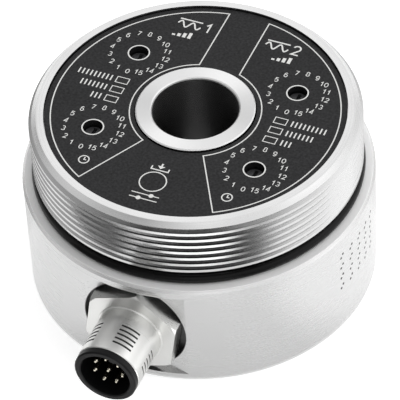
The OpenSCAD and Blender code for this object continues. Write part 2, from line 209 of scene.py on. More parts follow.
def strokes(sign):
    """The pen's paths for one numeral, in a box 0.6 wide and 1 high: straight runs and arcs of an ellipse, each
    path with whether it closes."""
    def bow(x, y, across, up, start, end, steps=22):
        return arc((0, 0), 1.0, start, end, steps) * (across, up) + (x, y)

    def ring(x, y, across, up, steps):
        return bow(x, y, across, up, 0, 360, steps)[:-1], True

    def line(*runs):
        return np.concatenate([np.array(run) for run in runs]), False

    return {
        "0": [ring(0.3, 0.5, 0.3, 0.5, 41)],
        "1": [line([[0.08, 0.74], [0.34, 1.0], [0.34, 0.0]])],
        "2": [line(bow(0.3, 0.71, 0.28, 0.29, 165, -32), [[0.02, 0.0], [0.6, 0.0]])],
        "3": [line(bow(0.28, 0.745, 0.26, 0.255, 150, -80), bow(0.28, 0.26, 0.3, 0.26, 80, -140))],
        "4": [line([[0.46, 0.0], [0.46, 1.0], [0.0, 0.27], [0.62, 0.27]])],
        "5": [line([[0.55, 1.0], [0.12, 1.0], [0.05, 0.52]], bow(0.27, 0.33, 0.32, 0.33, 118, -130))],
        "6": [line(bow(0.33, 0.5, 0.3, 0.5, 55, 180), bow(0.31, 0.31, 0.28, 0.31, 180, 520, 34))],
        "7": [line([[0.02, 1.0], [0.58, 1.0], [0.22, 0.0]])],
        "8": [ring(0.3, 0.75, 0.24, 0.25, 31), ring(0.3, 0.26, 0.29, 0.26, 31)],
        "9": [line(bow(0.27, 0.5, 0.3, 0.5, 235, 360), bow(0.29, 0.69, 0.28, 0.31, 0, 340, 34))],
    }[sign]


# from one numeral to the next, and the middle of a numeral's box, both for a height of 1
NUMERAL_STEP = 0.82
NUMERAL_MIDDLE = np.array([0.3, 0.5])


def number(text, centre, height, width, low, thick):
    """A number in one stroke width: each numeral's path scaled to height, NUMERAL_STEP of it to the next one,
    and the whole number set with its middle on centre."""
    shift = -NUMERAL_MIDDLE - (NUMERAL_STEP * (len(text) - 1) / 2, 0)
    paths = [(path + shift + (NUMERAL_STEP * k, 0), closed)
             for k, sign in enumerate(text) for path, closed in strokes(sign)]
    return [ribbon(path * height + np.asarray(centre), width, low, thick, closed) for path, closed in paths]


def piece(name, parts, finish, body="sensor"):
    """Joins closed shapes into one new piece that rides on a body and takes its finish from a slot."""
    starts = np.cumsum([0] + [len(v) for v, _ in parts[:-1]])
    verts = np.concatenate([v for v, _ in parts])
    faces = [face for start, (_, groups) in zip(starts, parts)
             for group in groups for face in (group + start).tolist()]
    if not np.isfinite(verts).all():
        raise ValueError(name + " has a point that is not a number")
    mesh = bpy.data.meshes.new(name)
    mesh.from_pydata(verts.tolist(), [], faces)
    mesh.validate()
    mesh.materials.append(finish)
    made = bpy.data.objects.new(name, mesh)
    bpy.context.collection.objects.link(made)
    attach(made, body)
    return made


def grid(across, up):
    """Two columns of numbers, for sheet: all values of across, once for each value of up, and beside them
    that value."""
    return (values.reshape(-1, 1) for values in np.meshgrid(across, up))


def sheet(name, points, columns, finish, seen=True):
    """A sheet of the stage: points in rows of so many columns, with a face between each four neighbours. One
    that is not seen is there for what bright metal mirrors alone."""
    rows = len(points) // columns
    i = (np.arange(rows - 1)[:, None] * columns + np.arange(columns - 1)[None]).ravel()
    faces = np.stack([i, i + 1, i + columns + 1, i + columns], axis=1)
    mesh = bpy.data.meshes.new(name)
    mesh.from_pydata(points.tolist(), [], faces.tolist())
    mesh.materials.append(finish)
    made = bpy.data.objects.new(name, mesh)
    made.visible_camera = made.visible_shadow = made.visible_diffuse = seen
    bpy.context.collection.objects.link(made)


def dress(finish, *names):
    """Gives CAD nodes their finish, in the slots that they have."""
    for name in names:
        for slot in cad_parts[name].material_slots:
            slot.material = finish


def start(name, ground, metallic, roughness, **constant):
    """A new material: its shader with constant values, and the piece's own coordinates in metres."""
    made = bpy.data.materials.get("finish_" + name) or bpy.data.materials.new("finish_" + name)
    made.use_nodes = True
    tree = made.node_tree
    tree.nodes.clear()
    values = {"Base Color": (*ground, 1), "Metallic": metallic, "Roughness": roughness}
    values.update({key.replace("_", " "): value for key, value in constant.items()})
    shader = node(tree, "ShaderNodeBsdfPrincipled", values)
    node(tree, "ShaderNodeOutputMaterial", {"Surface": shader.outputs["BSDF"]})
    place = node(tree, "ShaderNodeTexCoord").outputs["Object"]
    return made, tree, shader, place


def feed(tree, shader, **outputs):
    """Links what varies over the surface to the shader's sockets."""
    for key, value in outputs.items():
        tree.links.new(value, shader.inputs[key.replace("_", " ")])


def shade(ground, factor):
    """A colour made darker or lighter, with its alpha."""
    return (*(min(1.0, c * factor) for c in ground), 1)


# a zone of a turned piece with its own tint and gloss, where another tool left its marks or where shade or
# light is painted: a point of its axis and the direction, the radius and the height from and to in mm, the
# tint's factor, the roughness, by what part of a turn the tool's marks lie askew to the rest, and how much bare
# metal shows
Zone = namedtuple("Zone", "centre along radius height tint gloss turn metal", defaults=(0, 1))


def polar(tree, place, centre, along):
    """Distance from an axis and height along it: |p - p.along| and p.along, for p from the centre."""
    local = node(tree, "ShaderNodeVectorMath", {0: place, 1: centre}, operation="SUBTRACT").outputs[0]
    across = tuple(1 - abs(a) for a in along)
    flat = node(tree, "ShaderNodeVectorMath", {0: local, 1: across}, operation="MULTIPLY").outputs[0]
    radius = node(tree, "ShaderNodeVectorMath", {0: flat}, operation="LENGTH").outputs["Value"]
    height = node(tree, "ShaderNodeVectorMath", {0: local, 1: along}, operation="DOT_PRODUCT").outputs["Value"]
    return radius, height


# clouds that handling leaves on metal, and that moulding leaves in plastic, in mm
METAL_CLOUD = 9
PLASTIC_CLOUD = 7


def turned(name, ground, roughness, grain_mm, bump, centre=(0, 0, 0), along=(0, 0, 1), spread=0.08, stretch=0.0,
           zones=()):
    """Metal off the lathe: fine marks that run round the axis, so they are noise over (radius, height) alone,
    and faint clouds of handling over them. The eye gets a soft streak across the marks and a clean edge."""
    made, tree, shader, place = start(name, ground, 1.0, roughness, Anisotropic=stretch)
    radius, height = polar(tree, place, centre, along)
    lathe = node(tree, "ShaderNodeCombineXYZ", {"X": radius, "Y": height}).outputs[0]
    # feed marks are about 0.1 mm apart, drawn as coarse as grain_mm so that they show
    marks = node(tree, "ShaderNodeTexNoise", {"Vector": lathe, "Scale": 1 / (grain_mm * MM),
                                              "Detail": 3.0}).outputs["Fac"]
    clouds = node(tree, "ShaderNodeTexNoise", {"Vector": place, "Scale": 1 / (METAL_CLOUD * MM),
                                               "Detail": 4.0}).outputs["Fac"]
    both = node(tree, "ShaderNodeMath", {0: marks, 1: clouds}, operation="ADD").outputs[0]
    rough = node(tree, "ShaderNodeMapRange", {"Value": both, "From Min": 0.6, "From Max": 1.4,
                                              "To Min": roughness - spread,
                                              "To Max": roughness + spread}).outputs[0]
    tint = node(tree, "ShaderNodeMix", {0: clouds, 6: shade(ground, 0.95), 7: shade(ground, 1.03)},
                data_type="RGBA").outputs[2]
    # each zone's tint and roughness take over inside its bounds: on some zones the tint is painted shade or
    # painted light
    for zone in zones:
        inside = 1.0
        measures = polar(tree, place, zone.centre, zone.along)
        for measure, (low, high) in zip(measures, (zone.radius, zone.height)):
            mid, half = (low + high) / 2 * MM, (high - low) / 2 * MM
            near = node(tree, "ShaderNodeMath", {0: measure, 1: mid, 2: half}, operation="COMPARE").outputs[0]
            inside = node(tree, "ShaderNodeMath", {0: near, 1: inside}, operation="MULTIPLY").outputs[0]
        tint = node(tree, "ShaderNodeMix", {0: inside, 6: tint, 7: shade(ground, zone.tint)},
                    data_type="RGBA").outputs[2]
        rough = node(tree, "ShaderNodeMix", {0: inside, 2: rough, 3: zone.gloss}).outputs[0]
        if zone.turn:
            askew = node(tree, "ShaderNodeMath", {0: inside, 1: zone.turn}, operation="MULTIPLY").outputs[0]
            feed(tree, shader, Anisotropic_Rotation=askew)
        if zone.metal < 1:
            bare = node(tree, "ShaderNodeMath", {0: inside, 1: zone.metal - 1, 2: 1.0},
                        operation="MULTIPLY_ADD").outputs[0]
            feed(tree, shader, Metallic=bare)
    relief = node(tree, "ShaderNodeBump", {"Height": marks, "Strength": bump, "Distance": 0.02 * MM}).outputs[0]
    feed(tree, shader, Base_Color=tint, Roughness=rough, Normal=relief)
    return made


def moulded(name, ground, roughness, grain_mm, bump, spread=0.08, vary=0.12, depth_mm=0.02, **constant):
    """Moulded or cast material: a fine spark-eroded grain from the tool and slow clouds in tone and gloss.
    The eye gets a broken highlight and a tone that is never quite even."""
    made, tree, shader, place = start(name, ground, 0.0, roughness, **constant)
    grain = node(tree, "ShaderNodeTexNoise", {"Vector": place, "Scale": 1 / (grain_mm * MM),
                                              "Detail": 4.0}).outputs["Fac"]
    clouds = node(tree, "ShaderNodeTexNoise", {"Vector": place, "Scale": 1 / (PLASTIC_CLOUD * MM),
                                               "Detail": 3.0}).outputs["Fac"]
    speckle = node(tree, "ShaderNodeMapRange", {"Value": grain, "From Min": 0.25, "From Max": 0.75}).outputs[0]
    tone = node(tree, "ShaderNodeMix", {0: 0.6, 2: clouds, 3: speckle}).outputs[0]
    tint = node(tree, "ShaderNodeMix", {0: tone, 6: shade(ground, 1 - vary), 7: shade(ground, 1 + vary)},
                data_type="RGBA").outputs[2]
    rough = node(tree, "ShaderNodeMapRange", {"Value": clouds, "From Min": 0.3, "From Max": 0.7,
                                              "To Min": roughness - spread,
                                              "To Max": roughness + spread}).outputs[0]
    relief = node(tree, "ShaderNodeBump", {"Height": grain, "Strength": bump,
                                           "Distance": depth_mm * MM}).outputs[0]
    feed(tree, shader, Base_Color=tint, Roughness=rough, Normal=relief)
    return made


def printing_ink(context):
    """Screen-printed white ink: opaque, dull, with the mesh's fine unevenness."""
    return moulded("white_screen_ink", tuple(context.scene.sensor_colours.print), roughness=0.55, grain_mm=0.15,
                   bump=0.1, vary=0.05)


def dyed_card(name, ground, along, full, gone, glow=0.0):
    """Card dyed through, matt. It is whole up to the distance full from the middle along an axis, and has faded
    out at the distance gone, both in mm, so that bright metal shows no edge."""
    made = moulded(name, ground, roughness=0.9, grain_mm=0.6, bump=0.1,
                   Emission_Color=(1, 1, 1, 1), Emission_Strength=glow)
    tree = made.node_tree
    place = node(tree, "ShaderNodeTexCoord").outputs["Object"]
    reach = node(tree, "ShaderNodeVectorMath", {0: place, 1: tuple(along)},
                 operation="DOT_PRODUCT").outputs["Value"]
    aside = node(tree, "ShaderNodeMath", {0: reach}, operation="ABSOLUTE").outputs[0]
    fade = node(tree, "ShaderNodeMapRange", {"Value": aside, "From Min": full * MM, "From Max": gone * MM,
                                             "To Min": 1.0, "To Max": 0.0},
                interpolation_type="SMOOTHSTEP").outputs[0]
    feed(tree, tree.nodes["Principled BSDF"], Alpha=fade)
    return made


# threads of a board's glass cloth and runs of its copper, in mm; a wave node of scale 1 has about 3.2 bands
CLOTH_THREAD = 0.5
COPPER_RUN = 2.2
WAVE_BANDS = 3.2


def laminate(name, ground):
    """Glass-epoxy board under solder resist: the cloth's weave shows through, with darker runs where copper
    lies under the resist."""
    made, tree, shader, place = start(name, ground, 0.0, 0.35, IOR=1.5)
    weave = {"Vector": place, "Scale": 1 / (CLOTH_THREAD * MM) / WAVE_BANDS, "Distortion": 0.6}
    warp, weft = (node(tree, "ShaderNodeTexWave", weave, bands_direction=way).outputs["Fac"] for way in "XY")
    cloth = node(tree, "ShaderNodeMath", {0: warp, 1: weft}, operation="MULTIPLY").outputs[0]
    copper = node(tree, "ShaderNodeTexVoronoi", {"Vector": place, "Scale": 1 / (COPPER_RUN * MM)},
                  distance="MANHATTAN", feature="F1").outputs["Color"]
    tone = node(tree, "ShaderNodeMix", {0: copper, 6: shade(ground, 0.75), 7: shade(ground, 1.35)},
                data_type="RGBA").outputs[2]
    tint = node(tree, "ShaderNodeMix", {0: cloth, 6: tone, 7: shade(ground, 1.15)}, data_type="RGBA").outputs[2]
    relief = node(tree, "ShaderNodeBump", {"Height": cloth, "Strength": 0.15, "Distance": 0.03 * MM}).outputs[0]
    feed(tree, shader, Base_Color=tint, Normal=relief)
    return made


class SENSOR_OT_housing(Operator):
    """Finish the turned stainless body"""
    bl_idname = "sensor.housing"
    bl_label = "Housing"

    def execute(self, context):
        wall, _, top = (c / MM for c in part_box("housing")[1])
        well_r = 7.9
        zones = (
            # the sleeve's faced ring, duller, and paler: a painted highlight on its face
            Zone(*BORE_AXIS, radius=(well_r, 11.4), height=(top - 0.3, top + 0.1), tint=1.35, gloss=0.46),
            # the well, darker: painted shade in the bore, with its marks across those of the outside
            Zone(*BORE_AXIS, radius=(0, well_r), height=(0, top), tint=0.52, gloss=0.27, turn=0.25),
            # the shoulder, matt, with a paler tint and a partly non-metal shader: painted light, so that it
            # stays pale beside the seal where the neck shades it
            Zone(*BORE_AXIS, radius=(28, wall), height=(22.95, 23.05), tint=1.4, gloss=1.0, metal=0.3),
            # the thread, burnished, and a little darker: painted shade
            Zone(*BORE_AXIS, radius=(28.9, 30), height=(23.2, 35), tint=0.95, gloss=0.14),
            # the milled pocket behind the hexagon, much darker: painted shade
            Zone(*plug_axis(), radius=(0, 9.8), height=(20, 31.5), tint=0.25, gloss=0.5))
        # stainless steel, fine turned: bright, with a streak across the lathe marks
        steel = turned("turned_stainless_steel", tuple(context.scene.sensor_colours.steel), roughness=0.26,
                       grain_mm=0.3, bump=0.05, stretch=0.85, zones=zones)
        dress(steel, "housing")
        return {"FINISHED"}


# field of dots on the side: columns from the plug's side towards the back, of so many pairs each
DOT_COLUMNS = 5
DOT_PAIRS = 4
DOT_CORNERS = 12
# angle of the first column from the plug; in mm, from column to column, the first pair's height, and from pair
# to pair
DOT_START = math.radians(75.3)
DOT_PITCH = 2.9
DOT_TOP = 18.7
DOT_DROP = 2.57
# in mm, how far a pair's second dot lies aside and low, and how far a dot stands out of the wall and goes into
# it
SECOND_ASIDE = 0.56
SECOND_LOW = 0.75
DOT_PROUD = 0.006
DOT_SUNK = 0.03


class SENSOR_OT_side_dots(Operator):
    """Mark the field of dots on the body's side"""
    bl_idname = "sensor.side_dots"
    bl_label = "Side dots"

    def execute(self, context):
        dot = context.scene.sensor_sizes.dot
        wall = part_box("housing")[1][0]
        counts = (np.arange(n) for n in (DOT_COLUMNS, DOT_PAIRS, 2))
        column, row, second = (a.reshape(-1, 1) for a in np.meshgrid(*counts, indexing="ij"))
        t = np.linspace(0, 2 * math.pi, DOT_CORNERS + 1)[:-1]
        a = DOT_START + (column * DOT_PITCH - second * SECOND_ASIDE) * MM / wall + dot * np.cos(t) / wall
        z = (DOT_TOP - row * DOT_DROP - second * SECOND_LOW) * MM + dot * np.sin(t)
        # each dot is a thin tablet bent to the wall: (r sin a, -r cos a, z) just outside the wall and just
        # inside it
        shells = [np.stack([r * np.sin(a), -r * np.cos(a), z], axis=2).reshape(-1, 3)
                  for r in (wall + DOT_PROUD * MM, wall - DOT_SUNK * MM)]
        n = a.size
        i = np.arange(n).reshape(a.shape)
        j = np.roll(i, -1, axis=1)
        walls = np.stack([i + n, j + n, j, i], axis=2).reshape(-1, 4)
        # laser-marked steel: an oxide skin, dark and dull
        mark = moulded("laser_marked_steel", linear("#3E3E3E"), roughness=0.55, grain_mm=0.15, bump=0.2)
        piece("side_dots", [(np.concatenate(shells), [i, i[:, ::-1] + n, walls])], mark)
        return {"FINISHED"}


class SENSOR_OT_seals(Operator):
    """Finish the cover seal and the plug's gasket"""
    bl_idname = "sensor.seals"
    bl_label = "Seals"

    def execute(self, context):
        # nitrile rubber, pressed: black, waxy highlight, fine mould grain
        rubber = moulded("nitrile_rubber", tuple(context.scene.sensor_colours.seal), roughness=0.28,
                         grain_mm=0.25, bump=0.1, IOR=1.52, Specular_IOR_Level=0.14)
        dress(rubber, "cover_seal", "connector_seal")
        return {"FINISHED"}


# half the size of a light's window and of the frame round it, in mm, and the lacquer's thickness against the
# ink's
WINDOW_HALF = (1.02, 0.6)
WINDOW_FRAME_HALF = (1.15, 0.73)
LACQUER = 0.8


class SENSOR_OT_panel(Operator):
    """Finish the panel plate and its foil, with the dark light windows"""
    bl_idname = "sensor.panel"
    bl_label = "Panel"

    def execute(self, context):
        # polyester foil, matt coated: a dark, speckled ground; its grain of about 0.1 mm is drawn coarser, so
        # that it shows
        foil = moulded("matt_polyester_foil", tuple(context.scene.sensor_colours.foil), roughness=0.46,
                       grain_mm=0.45, bump=0.2, spread=0.05, vary=0.95, depth_mm=0.012, IOR=1.5,
                       Specular_IOR_Level=0.12)
        dress(foil, "front_foil")
        # ABS, moulded: black and dull where the foil leaves it bare
        plate = moulded("black_abs", linear("#121213"), roughness=0.5, grain_mm=0.3, bump=0.2, IOR=1.53)
        dress(plate, "front_plate")
        # see-through lacquer in the foil's windows: nearly black when the lights are off, and glossier
        lacquer = moulded("smoked_lacquer", linear("#0D0D0E"), roughness=0.36, grain_mm=0.4, bump=0.04, IOR=1.5,
                          Specular_IOR_Level=0.24)
        thick = context.scene.sensor_sizes.ink * LACQUER
        windows = [tablet(corners, foil_top(), thick) for corners in light_bars(WINDOW_HALF)]
        piece("light_windows", windows, lacquer)
        return {"FINISHED"}


# widths of printed lines, in mm: numbers, light frames, clock hands and sliders, clock rims, dial rings and
# tray, channel signs
NUMBER_LINE = 0.15
WINDOW_LINE = 0.16
HAND_LINE = 0.2
CLOCK_LINE = 0.22
RING_LINE = 0.24
SIGN_LINE = 0.3


class SENSOR_OT_frames(Operator):
    """Print the two field frames, the light frames and the button's ring"""
    bl_idname = "sensor.frames"
    bl_label = "Printed frames"

    def execute(self, context):
        s = context.scene.sensor_sizes
        top = foil_top()
        front = math.degrees(s.frame_front) - 90
        back_out, back_in = (math.degrees(math.acos(s.frame_back / r)) for r in (s.frame_out, s.frame_in))
        # each field: outer arc from the back line to the front line, then the inner arc back again
        right = np.concatenate([arc((0, 0), s.frame_out, back_out, front, steps=90),
                                arc((0, 0), s.frame_in, front, back_in, steps=60)])
        left = (right * (-1, 1))[::-1]
        lines = [(right, s.line), (left, s.line)]
        lines += [(corners, WINDOW_LINE * MM) for corners in light_bars(WINDOW_FRAME_HALF)]
        lines.append((circle(middle("button_plunger")[:2], s.button_ring), s.line))
        parts = [ribbon(path, width, top, s.ink, True) for path, width in lines]
        piece("printed_frames", parts, printing_ink(context))
        return {"FINISHED"}


# steps of a dial, and the angle of its number 0 from the X axis
DIAL_STEPS = 16
DIAL_ZERO = 270


class SENSOR_OT_dials(Operator):
    """Finish the rotary switches and print their rings and numbers"""
    bl_idname = "sensor.dials"
    bl_label = "Dials"

    def execute(self, context):
        s = context.scene.sensor_sizes
        top = foil_top()
        # PBT with glass fibre: grey black, dull, with a coarse grain
        body = moulded("glass_filled_pbt", linear("#1A1A1B"), roughness=0.55, grain_mm=0.3, bump=0.25)
        dress(body, *(f"switch_body_{i}" for i in DIALS))
        # polyamide rotors, a little paler so that the slot reads
        rotor = moulded("grey_polyamide", linear("#3C3C3E"), roughness=0.45, grain_mm=0.25, bump=0.15)
        dress(rotor, *(f"switch_rotor_{i}" for i in DIALS))
        parts = []
        for i in DIALS:
            centre = middle(f"switch_rotor_{i}")[:2]
            parts.append(ribbon(circle(centre, s.dial_ring), RING_LINE * MM, top, s.ink, True))
            for n in range(DIAL_STEPS):
                t = math.radians(DIAL_ZERO - 360 / DIAL_STEPS * n)
                at = centre + s.number_ring * np.array([math.cos(t), math.sin(t)])
                parts += number(str(n), at, s.number_h, NUMBER_LINE * MM, top, s.ink)
        piece("dial_numbers", parts, printing_ink(context))
        return {"FINISHED"}


# signs on the panel, in mm from the bore's axis. Each channel: its number, its side, its first light, and where
# its wave and its level start
Channel = namedtuple("Channel", "number side light wave_x level_x")
CHANNELS = (Channel("1", -1, 1, -11.9, -11.8), Channel("2", 1, 4, 5.3, 7.7))
# a wave under a limit line, and the channel's number after it
WAVE_TURNS = 2
WAVE_LENGTH = 4.4
WAVE_SWING = 0.75
WAVE_Y = 20.3
LIMIT_Y = 21.55
CHANNEL_AT = np.array([5.9, 20.55])
CHANNEL_H = 2.3
# a rising level of bars 1 mm apart: their number, foot, width, lowest top, rise from bar to bar
LEVEL_BARS = 4
LEVEL_Y = 16.85
LEVEL_W = 0.62
LEVEL_TOP = 17.25
LEVEL_RISE = 0.38
# a clock: place, radius, hands
CLOCK_AT = (13.6, -18.35)
CLOCK_R = 0.92
CLOCK_HANDS = np.array([[0, 0.62], [0, 0], [0.45, 0]])
# ticks beside the lights, more for a higher level: first place, pitch, half size
TICKS = (9, 7, 3)
TICK_X = 17.5
TICK_PITCH = 0.78
TICK_HALF = (0.13, 0.7)
# an arrow into a tray above the button, and below it two sliders, each with its height and its knob's place
ARROW = ((-0.7, -15.25), (0, -15.95), (0.7, -15.25))
ARROW_SHAFT = bar(-0.16, -15.26, 0.16, -14.6)
TRAY = ((-1.6, -15.55), (-1.6, -16.3), (1.6, -16.3), (1.6, -15.55))
SLIDERS = ((-22.6, 1.1), (-23.7, -0.9))
SLIDER_HALF = 2.6
KNOB_R = 0.45
# a knob's thickness against the ink's, so that it covers its slider's line
KNOB_LIFT = 1.2


class SENSOR_OT_marks(Operator):
    """Print the plain marks of the two channels, the lights, the dials and the button"""
    bl_idname = "sensor.marks"
    bl_label = "Printed marks"

    def execute(self, context):
        ink = context.scene.sensor_sizes.ink
        top = foil_top()
        parts = []

        def draw(path, width, closed=False):
            parts.append(ribbon(np.array(path) * MM, width * MM, top, ink, closed))

        def fill(outline, lift=1.0):
            parts.append(tablet(np.array(outline) * MM, top, ink * lift))

        x = np.linspace(0, WAVE_LENGTH, 30 * WAVE_TURNS)
        wave = np.c_[x, WAVE_SWING * np.sin(x / WAVE_LENGTH * 2 * math.pi * WAVE_TURNS)]
        for channel in CHANNELS:
            draw(wave + (channel.wave_x, WAVE_Y), SIGN_LINE)
            draw([[channel.wave_x, LIMIT_Y], [channel.wave_x + WAVE_LENGTH, LIMIT_Y]], SIGN_LINE)
            at = CHANNEL_AT + (channel.wave_x, 0)
            parts += number(channel.number, at * MM, CHANNEL_H * MM, SIGN_LINE * MM, top, ink)
            for k in range(LEVEL_BARS):
                foot = channel.level_x + k
                fill(bar(foot, LEVEL_Y, foot + LEVEL_W, LEVEL_TOP + LEVEL_RISE * k))
            clock = np.array(CLOCK_AT) * (channel.side, 1)
            draw(circle(clock, CLOCK_R, steps=48), CLOCK_LINE, closed=True)
            draw(clock + CLOCK_HANDS, HAND_LINE)
            for k, ticks in enumerate(TICKS):
                y = middle(f"led_{channel.light + k}")[1] / MM
                for n in range(ticks):
                    at = np.array([channel.side * (TICK_X + TICK_PITCH * n), y])
                    fill(bar(*(at - TICK_HALF), *(at + TICK_HALF)))
        fill(ARROW)
        fill(ARROW_SHAFT)
        draw(TRAY, RING_LINE)
        for y, knob in SLIDERS:
            draw([[-SLIDER_HALF, y], [SLIDER_HALF, y]], HAND_LINE)
            fill(circle((knob, y), KNOB_R, steps=24), KNOB_LIFT)
        piece("printed_marks", parts, printing_ink(context))
        return {"FINISHED"}


class SENSOR_OT_plug(Operator):
    """Finish the plug connector"""
    bl_idname = "sensor.plug"
    bl_label = "Plug connector"

    def execute(self, context):
        # brass, nickel plated: white metal with a soft shine, with painted shade darkening the thread's grooves
        centre, along = plug_axis()
        # painted shade: the grooves' tint is far darker than the plating
        groove_shade = Zone(centre, along, radius=(5.3, 5.88), height=(33, 42), tint=0.12, gloss=0.5)
        nickel = turned("nickel_plated_brass", linear("#E4E4E2"), roughness=0.32, grain_mm=0.25, bump=0.015,
                        centre=centre, along=along, zones=(groove_shade,))
        dress(nickel, "connector_shell")
        # polyamide, moulded: black, with a dull rim round the socket
        insert = moulded("black_polyamide", tuple(context.scene.sensor_colours.insert), roughness=0.42,
                         grain_mm=0.25, bump=0.15, IOR=1.53, Specular_IOR_Level=0.18)
        dress(insert, "connector_insert")
        # thin gold on the contacts: pale and glossy, so that their ends sparkle in the dark socket
        gold = turned("gold_plated_contact", linear("#E2DCCB"), roughness=0.18, grain_mm=0.2, bump=0.03,
                      centre=tuple(middle("contact_pins")), along=(0, 1, 0))
        dress(gold, "contact_pins")
        return {"FINISHED"}


class SENSOR_OT_inside(Operator):
    """Finish the boards and all that stands on them"""
    bl_idname = "sensor.inside"
    bl_label = "Inside"

    def execute(self, context):
        dress(laminate("green_laminate", linear("#1E6B3A")), "control_board", "power_board", "sensor_board")
        # epoxy cast over the lamps: pale and glossy, as a small lens
        dress(moulded("lamp_epoxy", linear("#E8E2B8"), roughness=0.25, grain_mm=0.3, bump=0.05, IOR=1.55),
              *(f"led_{i}" for i in LIGHTS))
        # acrylic, moulded clear: polished and see-through
        dress(moulded("clear_acrylic", linear("#EDF1F2"), roughness=0.08, grain_mm=0.6, bump=0.02, spread=0.03,
                      IOR=1.49, Transmission_Weight=0.9), "light_guide_left", "light_guide_right")
        # PBT, moulded: off white on the plunger and relays, dark on the sockets, with a dull grain
        dress(moulded("pale_pbt", linear("#D9D6CB"), roughness=0.45, grain_mm=0.3, bump=0.12),
              "button_plunger", "relay_1", "relay_2")
        dress(moulded("dark_pbt", linear("#232324"), roughness=0.5, grain_mm=0.3, bump=0.2),
              "button_body", "board_link")
        # epoxy round the chip: black, dull, with a sandy grain
        dress(moulded("chip_epoxy", linear("#1B1B1D"), roughness=0.6, grain_mm=0.2, bump=0.3),
              "controller_chip")
        # tinned can, drawn brass and zinc plate: plain metal, each with its own tone and a soft shine
        dress(turned("tinned_can", linear("#B9B9B5"), roughness=0.32, grain_mm=0.3, bump=0.05), "accelerometer")
        dress(turned("drawn_brass", linear("#CDA85A"), roughness=0.3, grain_mm=0.3, bump=0.06),
              *(f"spacer_{level}_{i}" for level in ("low", "high") for i in SPACERS))
        dress(turned("zinc_plated_steel", linear("#BFC2C4"), roughness=0.3, grain_mm=0.25, bump=0.06),
              *(f"board_screw_{i}" for i in SPACERS))
        # PVC over the leads: even colour with a waxy shine
        for name, text, leads in (("pvc_lead", "#B8332A", "sensor_leads"),
                                  ("pvc_lead_pale", "#C9A23A", "connector_leads")):
            dress(moulded(name, linear(text), roughness=0.4, grain_mm=0.3, bump=0.08), leads)
        return {"FINISHED"}


# floor: half its side in metres, its points along a side, and how far it lies under the part, in mm
FLOOR_HALF = 1.5
FLOOR_POINTS = 31
FLOOR_DROP = 0.02
# points across a card, round a pale card, and up either
CARD_POINTS = 13
PALE_POINTS = 25
CARD_ROWS = 9
# how high a card lies over the floor, in mm
CARD_Z = 0.3
# sloped card at the front left: its level direction outwards in parts of the camera's side and front; in mm,
# half its width, its foot's distance, how far it goes out and up, its height at the foot, and where its fade
# starts and ends
SLOPE_SIDE = 0.85
SLOPE_FRONT = 0.53
SLOPE_HALF = 34
SLOPE_FOOT = 53
SLOPE_RISE = 75
SLOPE_Z = 0.5
SLOPE_FADE = (10, 34)
# straight cards on the floor: name, colour and angle from the camera's front; in mm, half its width, its near
# and far edge, its height and its fade; its glow. The thread's flanks mirror the black one through one another.
# The others lie past what the wall mirrors: they light the thread's crests and draw a soft dark band on them
FLAT_CARDS = (("black_card", "#242424", 0, 165, (90, 230), 0.3, (45, 165), 0.0),
              ("bright_card", "#E0E0E0", 0, 30, (56, 84), 0.45, (12, 30), 1.2),
              ("dark_strip", "#606060", 25, 20, (55, 200), 0.6, (0, 20), 0.0))
# pale cards on the floor: name, first and last angle from the camera's front, outer radius and fade in mm. They
# are darker than the floor: painted shade round the base, which only the metal mirrors
PALE_CARDS = (("front_shade_card", -80, 80, 58, (17, 32)), ("back_shade_card", 100, 260, 110, (30, 105)))
PALE_IN = 32.5
PALE_GLOW = 0.4


def lay_floor(side, front):
    """Lays the floor, the points (x, y, -FLOOR_DROP), and the cards on it that only bright metal sees. side and
    front are the camera's own level directions."""
    # opal acrylic over lamps: white, dull, with a little light of its own, so that shadows stay pale
    opal = moulded("opal_acrylic", linear("#CFCFCF"), roughness=0.7, grain_mm=0.5, bump=0.02, vary=0.01,
                   Emission_Color=(1, 1, 1, 1), Emission_Strength=0.62)
    edge = np.linspace(-FLOOR_HALF, FLOOR_HALF, FLOOR_POINTS)
    x, y = grid(edge, edge)
    sheet("floor", np.c_[x, y, np.full(x.shape, -FLOOR_DROP * MM)], FLOOR_POINTS, opal)
    # grey card: the point (u, v) runs along it and up its slope; it shades the steel's left side
    out = np.array(-SLOPE_SIDE * side + SLOPE_FRONT * front)
    along = np.array(SLOPE_FRONT * side + SLOPE_SIDE * front)
    u, v = grid(np.linspace(-SLOPE_HALF, SLOPE_HALF, CARD_POINTS), np.linspace(0, 1, CARD_ROWS))
    slope = u * along + (SLOPE_FOOT + SLOPE_RISE * v) * out + (0, 0, SLOPE_Z) + v * (0, 0, SLOPE_RISE)
    grey = dyed_card("grey_card", linear("#686868"), along, *SLOPE_FADE)
    sheet("grey_card", slope * MM, CARD_POINTS, grey, False)
    # straight cards: the point (u, v) lies u beside the card's ray and v along it
    side, front = np.array(side), np.array(front)
    for name, text, degrees, half, reach, height, fade, glow in FLAT_CARDS:
        turn = math.radians(degrees)
        ray = math.sin(turn) * side + math.cos(turn) * front
        beside = math.cos(turn) * side - math.sin(turn) * front
        u, v = grid(np.linspace(-half, half, CARD_POINTS), np.linspace(*reach, CARD_ROWS))
        flat = u * beside + v * ray + (0, 0, height)
        sheet(name, flat * MM, CARD_POINTS, dyed_card(name, linear(text), beside, *fade, glow), False)
    # pale cards before and behind the part, painted shade that only the metal mirrors: the point (t, r) lies at
    # the angle t from the camera's front
    for name, first, last, reach, fade in PALE_CARDS:
        t, r = grid(np.radians(np.linspace(first, last, PALE_POINTS)), np.linspace(PALE_IN, reach, CARD_ROWS))
        flat = r * (np.sin(t) * side + np.cos(t) * front) + (0, 0, CARD_Z)
        sheet(name, flat * MM, PALE_POINTS, dyed_card(name, linear("#C8C8C8"), side, *fade, PALE_GLOW), False)


